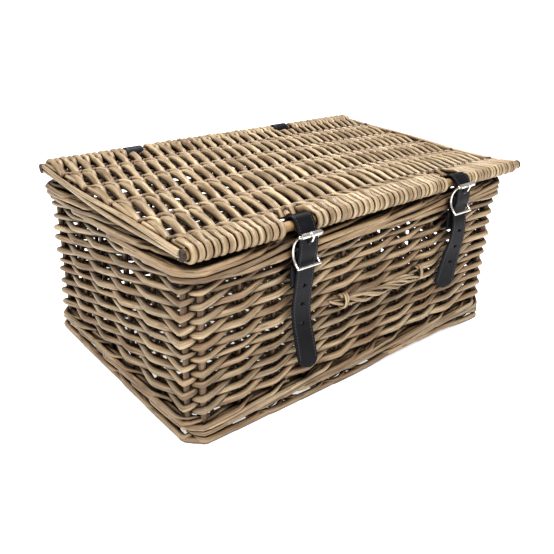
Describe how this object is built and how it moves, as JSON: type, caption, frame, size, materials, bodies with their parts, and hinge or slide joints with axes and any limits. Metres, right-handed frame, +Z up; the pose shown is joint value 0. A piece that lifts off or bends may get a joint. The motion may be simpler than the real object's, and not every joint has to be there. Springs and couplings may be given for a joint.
{
  "type": "wicker storage trunk",
  "caption": "Rectangular woven willow storage trunk with a hinged lid, a rope handle and leather straps with roller buckles.",
  "frame": {"origin": "on the floor, under the middle of the whole object's box", "axes": "+X along the front from left to right, +Y from the front to the back, +Z up"},
  "size_m": [0.464, 0.3314, 0.2066],
  "materials": {
    "wall_willow": "greyed antique wash on peeled willow",
    "lid_willow": "pale antique wash on peeled willow",
    "frame_willow": "dark brown willow in the shade of the weave",
    "black_leather": "smooth black leather with stitched edges",
    "buckle_metal": "bright nickel plate"
  },
  "bodies": {
    "basket": {"foot_border": "wall_willow", "lower_wale": "wall_willow", "front_border": "wall_willow", "front_right_corner_border": "wall_willow", "right_border": "wall_willow", "back_right_corner_border": "wall_willow", "back_border": "wall_willow", "back_left_corner_border": "wall_willow", "left_border": "wall_willow", "front_left_corner_border": "wall_willow", "base_weave": "frame_willow", "base_sticks": "frame_willow", "front_wall_weave": "wall_willow", "front_right_corner_weave": "wall_willow", "right_wall_weave": "wall_willow", "back_right_corner_weave": "wall_willow", "back_wall_weave": "wall_willow", "back_left_corner_weave": "wall_willow", "left_wall_weave": "wall_willow", "front_left_corner_weave": "wall_willow", "front_stakes": "frame_willow", "right_stakes": "frame_willow", "back_stakes": "frame_willow", "left_stakes": "frame_willow", "front_left_post_1": "frame_willow", "front_right_post_1": "frame_willow", "front_right_post_2": "frame_willow", "back_right_post_1": "frame_willow", "back_right_post_2": "frame_willow", "back_left_post_1": "frame_willow", "back_left_post_2": "frame_willow", "front_left_post_2": "frame_willow", "front_handle": "wall_willow", "left_strap": "black_leather", "left_hinge_loop": "black_leather", "right_strap": "black_leather", "right_hinge_loop": "black_leather"},
    "lid": {"lid_front_stick": "lid_willow", "lid_back_stick": "lid_willow", "lid_weave": "lid_willow", "lid_cross_stick_1": "lid_willow", "lid_cross_stick_2": "lid_willow", "lid_cross_stick_3": "lid_willow", "lid_cross_stick_4": "lid_willow", "lid_cross_stick_5": "lid_willow", "lid_binding_rod_1": "lid_willow", "lid_binding_rod_2": "lid_willow", "lid_binding_rod_3": "lid_willow", "lid_binding_rod_4": "lid_willow", "lid_binding_rod_5": "lid_willow", "lid_left_edge_rod": "lid_willow", "lid_right_edge_rod": "lid_willow"},
    "left_buckle": {"left_buckle_frame": "buckle_metal"},
    "left_roller": {"left_buckle_roller": "buckle_metal"},
    "left_prong": {"left_buckle_prong": "buckle_metal"},
    "right_buckle": {"right_buckle_frame": "buckle_metal"},
    "right_roller": {"right_buckle_roller": "buckle_metal"},
    "right_prong": {"right_buckle_prong": "buckle_metal"}
  },
  "joints": [
    {"name": "lid_hinge", "type": "hinge", "parent": "basket", "child": "lid", "pos_m": [0, 0.14787, 0.198], "axis": [-1, 0, 0], "range_deg": [0, 150], "deforming": ["left_strap", "right_strap"]},
    {"name": "left_buckle_tilt", "type": "hinge", "parent": "basket", "child": "left_buckle", "pos_m": [-0.10799, -0.14978, 0.177], "axis": [1, 0, 0], "range_deg": [0, 8]},
    {"name": "left_prong_lift", "type": "hinge", "parent": "left_buckle", "child": "left_prong", "pos_m": [-0.10799, -0.14978, 0.177], "axis": [1, 0, 0], "range_deg": [0, 15]},
    {"name": "left_roller_spin", "type": "hinge", "parent": "left_buckle", "child": "left_roller", "pos_m": [-0.10799, -0.15768, 0.1923], "axis": [1, 0, 0], "continuous": true},
    {"name": "right_buckle_tilt", "type": "hinge", "parent": "basket", "child": "right_buckle", "pos_m": [0.11498, -0.14978, 0.182], "axis": [1, 0, 0], "range_deg": [0, 8]},
    {"name": "right_prong_lift", "type": "hinge", "parent": "right_buckle", "child": "right_prong", "pos_m": [0.11498, -0.14978, 0.182], "axis": [1, 0, 0], "range_deg": [0, 15]},
    {"name": "right_roller_spin", "type": "hinge", "parent": "right_buckle", "child": "right_roller", "pos_m": [0.11498, -0.15768, 0.1973], "axis": [1, 0, 0], "continuous": true}
  ]
}
